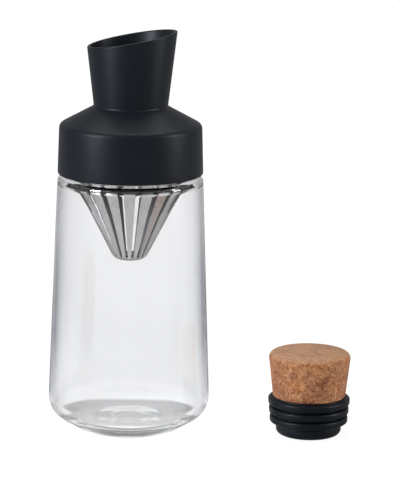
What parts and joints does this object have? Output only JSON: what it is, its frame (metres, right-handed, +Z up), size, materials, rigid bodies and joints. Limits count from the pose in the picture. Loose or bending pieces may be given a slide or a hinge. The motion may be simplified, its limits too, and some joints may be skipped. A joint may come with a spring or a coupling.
{
  "type": "infusing decanter",
  "caption": "Glass bottle with a push-on black pouring collar, a slotted steel infuser cone hanging in its neck, and a cork stopper with a ribbed seal standing beside it.",
  "frame": {"origin": "on the table, at the centre of the set's box: the bottle's axis is at x = -35.02 mm, the stopper's at x = 54.78 mm, y = -7.7 mm", "axes": "+Z up along the bottle's axis, +X from the bottle towards the stopper and towards the spout's high lip, -Y towards the front"},
  "size_m": [0.1502, 0.0802, 0.1991],
  "materials": {
    "clear_glass": "clear, fire-polished",
    "neck_silicone": "matte black silicone",
    "collar_plastic": "matte black, finely textured moulding",
    "basket_steel": "satin stainless sheet",
    "core_plastic": "satin black moulding",
    "rib_silicone": "satin black silicone",
    "cork": "ground agglomerated cork, sanded"
  },
  "bodies": {
    "bottle": {"glass_bottle": "clear_glass"},
    "seal": {"neck_seal": "neck_silicone"},
    "collar": {"pour_collar": "collar_plastic"},
    "basket": {"infuser_basket": "basket_steel"},
    "stopper": {"stopper_core": "core_plastic", "stopper_seal": "rib_silicone", "stopper_cork": "cork"}
  },
  "joints": [
    {"name": "collar_lift", "type": "slide", "parent": "bottle", "child": "seal", "axis": [0, 0, 1], "range_m": [0, 0.09]},
    {"name": "collar_turn", "type": "hinge", "parent": "seal", "child": "collar", "pos_m": [-0.03502, 0, 0.1517], "axis": [0, 0, 1], "continuous": true},
    {"name": "basket_pull", "type": "slide", "parent": "collar", "child": "basket", "axis": [0, 0, -1], "range_m": [0, 0.04]},
    {"name": "stopper_lift", "type": "slide", "parent": "bottle", "child": "stopper", "axis": [0, 0, 1], "range_m": [0, 0.22]}
  ]
}
